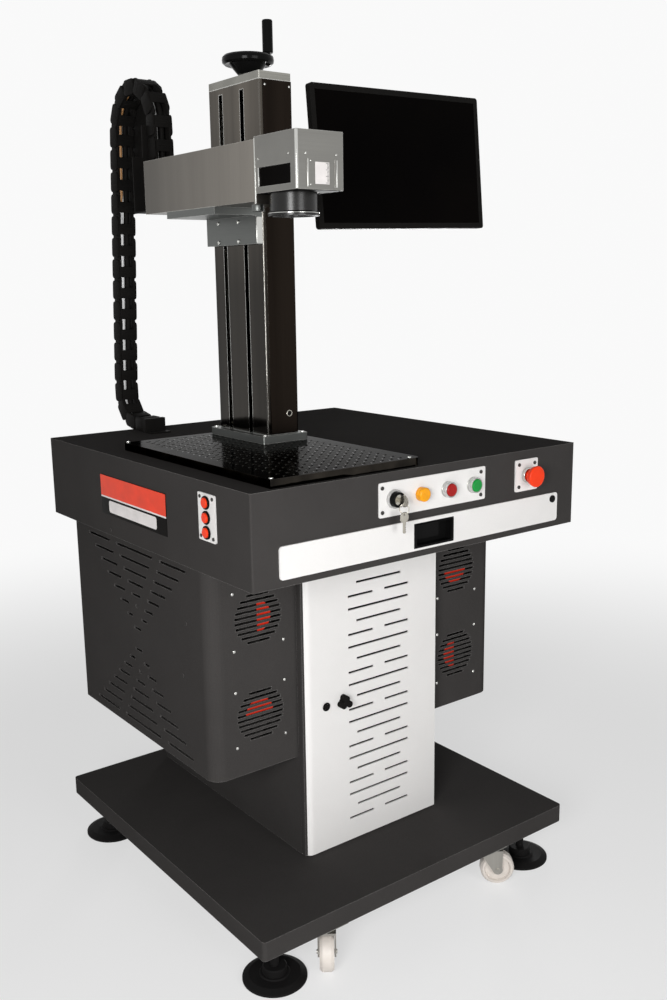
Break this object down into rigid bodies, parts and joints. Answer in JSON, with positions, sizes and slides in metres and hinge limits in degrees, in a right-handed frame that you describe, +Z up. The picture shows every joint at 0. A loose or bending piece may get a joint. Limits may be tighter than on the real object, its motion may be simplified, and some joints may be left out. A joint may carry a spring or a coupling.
{
  "type": "laser marking machine",
  "caption": "Desk-type laser marking machine with cabinet, switch panel, work plate, hand-driven column lift, marking head, energy chain and a screen on a swivel arm.",
  "frame": {"origin": "centre of the whole machine's footprint, on the floor", "axes": "+X to the operator's right, +Y to the rear, +Z up"},
  "size_m": [0.8317, 0.8712, 1.6743],
  "materials": {
    "charcoal": "satin powder coat",
    "white_panel": "satin powder coat",
    "black_gloss": "gloss",
    "black_matt": "matt",
    "steel": "brushed",
    "chrome": "polished",
    "arm_metal": "brushed",
    "head_metal": "brushed",
    "castor_grey": "zinc plated",
    "castor_cream": "moulded nylon",
    "foot_rubber": "moulded",
    "amber": "translucent",
    "dark_red": "translucent",
    "green": "translucent",
    "stop_red": "gloss",
    "ring_clear": "polished",
    "glass_dark": "gloss"
  },
  "bodies": {
    "frame": {"base_slab": "charcoal", "castor_plates": "castor_grey", "pedestal": "charcoal", "laser_source": "arm_metal", "left_wing": "charcoal", "right_wing": "charcoal", "fan_frames": "black_matt", "desk_housing": "charcoal", "drawer_runners": "steel", "control_plates": "white_panel", "control_bezels": "ring_clear", "amber_lamp": "amber", "work_plate": "black_gloss", "column_base": "steel", "column": "steel", "column_cap": "steel", "guide_rails": "chrome", "screen_bracket": "black_matt", "chain_foot": "black_matt", "drag_chain": "black_matt"},
    "lift": {"carriage": "head_metal", "laser_arm": "arm_metal", "marking_head": "head_metal", "lens_barrel": "black_gloss", "chain_plate": "black_matt"},
    "crank": {"handwheel": "black_gloss", "lead_screw": "chrome"},
    "grip": {"wheel_grip": "black_gloss"},
    "drawer": {"drawer_front": "white_panel", "drawer_tray": "charcoal", "drawer_handle": "black_gloss"},
    "door": {"door": "white_panel"},
    "knob": {"door_knob": "black_gloss"},
    "key": {"switch_key": "chrome"},
    "spare": {"spare_key": "chrome"},
    "red": {"red_button": "dark_red"},
    "green": {"green_button": "green"},
    "stop": {"stop_button": "stop_red"},
    "side_1": {"side_button_1": "stop_red"},
    "side_2": {"side_button_2": "stop_red"},
    "side_3": {"side_button_3": "stop_red"},
    "link": {"screen_link": "black_matt"},
    "screen": {"monitor_case": "black_matt", "monitor_screen": "glass_dark"},
    "fan_1": {"fan_1": "black_matt"},
    "fork_1": {"castor_fork_1": "castor_grey"},
    "wheel_1": {"castor_wheel_1": "castor_cream"},
    "foot_1": {"foot_1": "foot_rubber"},
    "fan_2": {"fan_2": "black_matt"},
    "fork_2": {"castor_fork_2": "castor_grey"},
    "wheel_2": {"castor_wheel_2": "castor_cream"},
    "foot_2": {"foot_2": "foot_rubber"},
    "fan_3": {"fan_3": "black_matt"},
    "fork_3": {"castor_fork_3": "castor_grey"},
    "wheel_3": {"castor_wheel_3": "castor_cream"},
    "foot_3": {"foot_3": "foot_rubber"},
    "fan_4": {"fan_4": "black_matt"},
    "fork_4": {"castor_fork_4": "castor_grey"},
    "wheel_4": {"castor_wheel_4": "castor_cream"},
    "foot_4": {"foot_4": "foot_rubber"}
  },
  "joints": [
    {"name": "handwheel_turn", "type": "hinge", "parent": "frame", "child": "crank", "pos_m": [-0.123, 0.00625, 1.6], "axis": [0, 0, 1], "range_deg": [-21600, 7200]},
    {"name": "arm_lift", "type": "slide", "parent": "frame", "child": "lift", "axis": [0, 0, 1], "range_m": [-0.3, 0.1], "deforming": ["drag_chain"]},
    {"name": "grip_spin", "type": "hinge", "parent": "crank", "child": "grip", "pos_m": [-0.09357, -0.01617, 1.64], "axis": [0, 0, 1], "continuous": true},
    {"name": "drawer_slide", "type": "slide", "parent": "frame", "child": "drawer", "axis": [0, -1, 0], "range_m": [0, 0.3]},
    {"name": "door_swing", "type": "hinge", "parent": "frame", "child": "door", "pos_m": [0.1267, -0.22325, 0.43], "axis": [0, 0, 1], "range_deg": [0, 105]},
    {"name": "knob_turn", "type": "hinge", "parent": "door", "child": "knob", "pos_m": [-0.106, -0.23325, 0.424], "axis": [0, 1, 0], "range_deg": [0, 90]},
    {"name": "key_turn", "type": "hinge", "parent": "frame", "child": "key", "pos_m": [-0.1205, -0.40425, 0.847], "axis": [0, 1, 0], "range_deg": [0, 90]},
    {"name": "spare_swing", "type": "hinge", "parent": "key", "child": "spare", "pos_m": [-0.1205, -0.42675, 0.8414], "axis": [1, 0, 0], "range_deg": [-20, 20]},
    {"name": "red_push", "type": "slide", "parent": "frame", "child": "red", "axis": [0, 1, 0], "range_m": [0, 0.003], "stiffness_N_per_m": 800, "springref_m": -0.002},
    {"name": "green_push", "type": "slide", "parent": "frame", "child": "green", "axis": [0, 1, 0], "range_m": [0, 0.003], "stiffness_N_per_m": 800, "springref_m": -0.002},
    {"name": "stop_push", "type": "slide", "parent": "frame", "child": "stop", "axis": [0, 1, 0], "range_m": [0, 0.004], "stiffness_N_per_m": 800, "springref_m": -0.002},
    {"name": "side_push_1", "type": "slide", "parent": "frame", "child": "side_1", "axis": [1, 0, 0], "range_m": [0, 0.0015], "stiffness_N_per_m": 800, "springref_m": -0.002},
    {"name": "side_push_2", "type": "slide", "parent": "frame", "child": "side_2", "axis": [1, 0, 0], "range_m": [0, 0.0015], "stiffness_N_per_m": 800, "springref_m": -0.002},
    {"name": "side_push_3", "type": "slide", "parent": "frame", "child": "side_3", "axis": [1, 0, 0], "range_m": [0, 0.0015], "stiffness_N_per_m": 800, "springref_m": -0.002},
    {"name": "fan_spin_1", "type": "hinge", "parent": "frame", "child": "fan_1", "pos_m": [-0.2755, -0.19425, 0.621], "axis": [0, 1, 0], "continuous": true},
    {"name": "fan_spin_2", "type": "hinge", "parent": "frame", "child": "fan_2", "pos_m": [-0.2755, -0.19425, 0.437], "axis": [0, 1, 0], "continuous": true},
    {"name": "fan_spin_3", "type": "hinge", "parent": "frame", "child": "fan_3", "pos_m": [0.2135, -0.19425, 0.621], "axis": [0, 1, 0], "continuous": true},
    {"name": "fan_spin_4", "type": "hinge", "parent": "frame", "child": "fan_4", "pos_m": [0.2135, -0.19425, 0.437], "axis": [0, 1, 0], "continuous": true},
    {"name": "castor_swivel_1", "type": "hinge", "parent": "frame", "child": "fork_1", "pos_m": [-0.24915, -0.36325, 0.078], "axis": [0, 0, 1], "continuous": true},
    {"name": "wheel_roll_1", "type": "hinge", "parent": "fork_1", "child": "wheel_1", "pos_m": [-0.26119, -0.37922, 0.037], "axis": [0.7986, -0.6018, 0], "continuous": true},
    {"name": "castor_swivel_2", "type": "hinge", "parent": "frame", "child": "fork_2", "pos_m": [0.15915, -0.36325, 0.078], "axis": [0, 0, 1], "continuous": true},
    {"name": "wheel_roll_2", "type": "hinge", "parent": "fork_2", "child": "wheel_2", "pos_m": [0.17512, -0.37529, 0.037], "axis": [0.6018, 0.7986, 0], "continuous": true},
    {"name": "castor_swivel_3", "type": "hinge", "parent": "frame", "child": "fork_3", "pos_m": [-0.24915, 0.33475, 0.078], "axis": [0, 0, 1], "continuous": true},
    {"name": "wheel_roll_3", "type": "hinge", "parent": "fork_3", "child": "wheel_3", "pos_m": [-0.26119, 0.31878, 0.037], "axis": [0.7986, -0.6018, 0], "continuous": true},
    {"name": "castor_swivel_4", "type": "hinge", "parent": "frame", "child": "fork_4", "pos_m": [0.15915, 0.33475, 0.078], "axis": [0, 0, 1], "continuous": true},
    {"name": "wheel_roll_4", "type": "hinge", "parent": "fork_4", "child": "wheel_4", "pos_m": [0.16915, 0.31743, 0.037], "axis": [0.866, 0.5, 0], "continuous": true},
    {"name": "foot_screw_1", "type": "slide", "parent": "frame", "child": "foot_1", "axis": [0, 0, -1], "range_m": [0, 0.02]},
    {"name": "foot_screw_2", "type": "slide", "parent": "frame", "child": "foot_2", "axis": [0, 0, -1], "range_m": [0, 0.02]},
    {"name": "foot_screw_3", "type": "slide", "parent": "frame", "child": "foot_3", "axis": [0, 0, -1], "range_m": [0, 0.02]},
    {"name": "foot_screw_4", "type": "slide", "parent": "frame", "child": "foot_4", "axis": [0, 0, -1], "range_m": [0, 0.02]},
    {"name": "screen_swivel", "type": "hinge", "parent": "frame", "child": "link", "pos_m": [-0.066, 0.01575, 1.441], "axis": [0, 0, 1], "range_deg": [-35, 60]},
    {"name": "screen_tilt", "type": "hinge", "parent": "link", "child": "screen", "pos_m": [0.19361, -0.02535, 1.43829], "axis": [0.9997, 0.012, 0.0209], "range_deg": [-15, 15]}
  ],
  "couplings": [
    {"joint": "handwheel_turn", "follows": "arm_lift", "rad_per_m": 1256.6}
  ]
}
